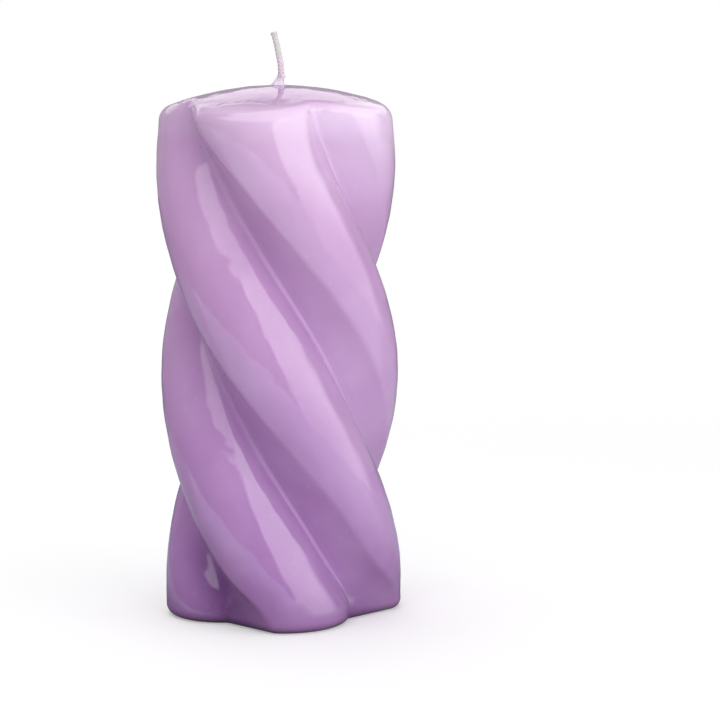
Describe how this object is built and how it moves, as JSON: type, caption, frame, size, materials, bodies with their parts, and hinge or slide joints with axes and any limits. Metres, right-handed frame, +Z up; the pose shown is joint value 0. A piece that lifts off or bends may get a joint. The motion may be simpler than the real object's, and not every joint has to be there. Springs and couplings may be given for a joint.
{
  "type": "twisted pillar candle",
  "caption": "Tall pillar candle with round lobes that twist to the left, a domed top, a glossy dipped coat, a short braided wick and a metal wick tab in its flat base.",
  "frame": {"origin": "centre of the base, on the surface that the candle stands on", "axes": "+Z up along the candle's axis, -Y out of the front that the picture shows, +X to that viewer's right"},
  "size_m": [0.0672, 0.0672, 0.1649],
  "materials": {
    "core_wax": "smooth moulded wax, slightly milky",
    "coat_wax": "high gloss dipped wax",
    "wick_cotton": "braided cotton, stiff with wax",
    "bead_wax": "glossy, thin enough to let light through",
    "tab_steel": "tinned sheet, satin"
  },
  "bodies": {
    "root": {"wax_core": "core_wax", "gloss_coat": "coat_wax", "wick": "wick_cotton", "wick_bead": "bead_wax", "wick_tab": "tab_steel"}
  },
  "joints": []
}
